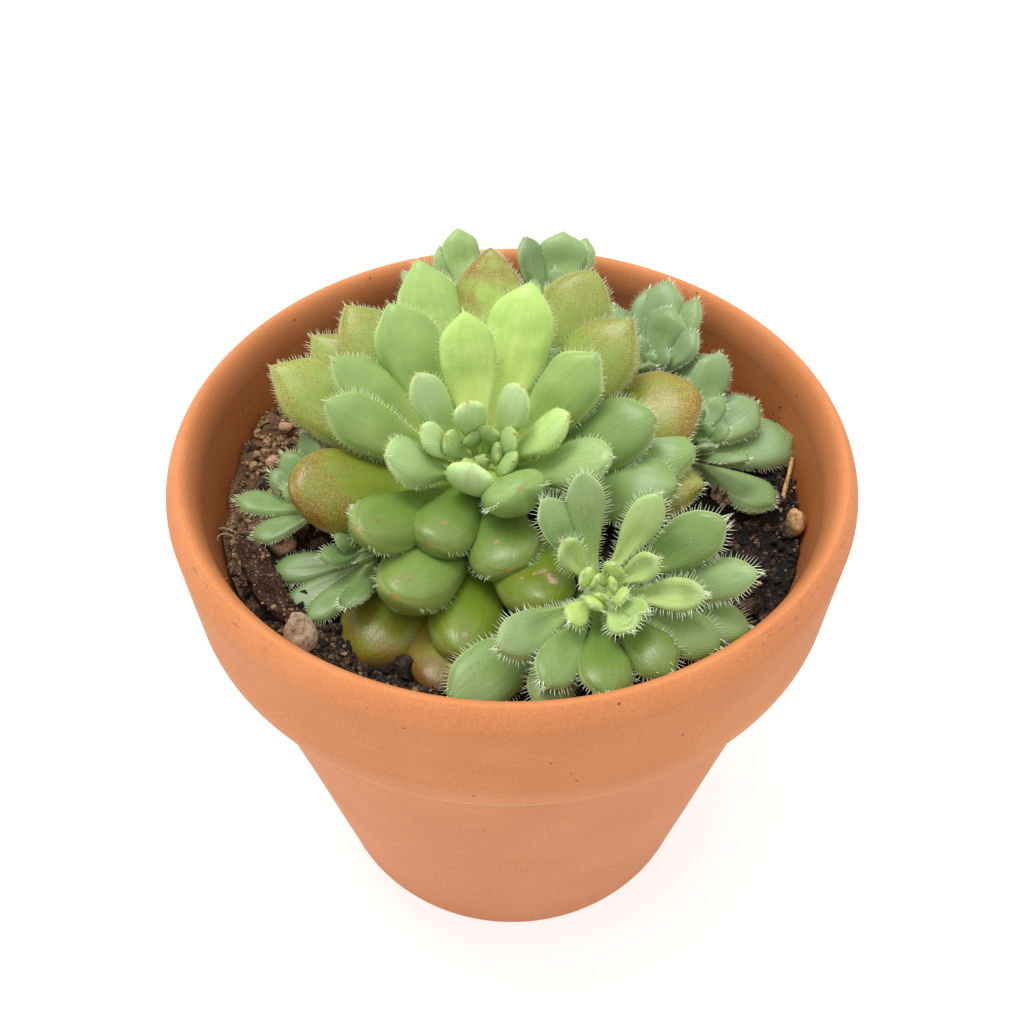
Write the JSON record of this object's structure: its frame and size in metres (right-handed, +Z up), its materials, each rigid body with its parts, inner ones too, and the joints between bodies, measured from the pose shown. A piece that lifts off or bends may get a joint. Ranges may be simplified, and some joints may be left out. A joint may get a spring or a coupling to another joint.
{
  "type": "potted rosette succulent",
  "caption": "Clay pot with a deep rim band, filled with gritty soil and planted with a leaning rosette succulent and its offsets; stands on its base.",
  "frame": {"origin": "on the pot's axis, on the surface that the pot stands on", "axes": "+Z up along the pot's axis; -Y towards the side that the mother rosette leans to; +X to the right seen from there"},
  "size_m": [0.1, 0.1, 0.1054],
  "materials": {
    "terracotta": "unglazed fired clay, matt, with faint mottling and tiny pores",
    "leaf_green": "succulent leaf, satin, waxy bloom over yellow green, brown speckles near the tips",
    "leaf_glaucous": "young succulent leaf, satin, pale blue green bloom",
    "beige_stone": "rough pumice, matt",
    "pink_stone": "rough lava grit, matt",
    "tan_stone": "rough grit, matt",
    "bark": "dark bark chip with soil crumbs",
    "straw": "dry stalk, matt",
    "soil": "dark gritty potting mix, crumbly, matt"
  },
  "bodies": {
    "root": {"pot": "terracotta", "soil": "soil", "mother_rosette": "leaf_green", "front_offset": "leaf_glaucous", "right_offset": "leaf_glaucous", "right_back_offset": "leaf_glaucous", "back_offset": "leaf_glaucous", "left_back_offset": "leaf_glaucous", "left_front_offset": "leaf_glaucous", "left_offset": "leaf_glaucous", "beige_stone": "beige_stone", "pink_pebble": "pink_stone", "pink_pebble_small": "pink_stone", "pebble_by_bark": "pink_stone", "pebble_left": "pink_stone", "pebble_left_back": "pink_stone", "tan_pebble": "tan_stone", "bark_chip": "bark", "dry_stalk": "straw"}
  },
  "joints": []
}
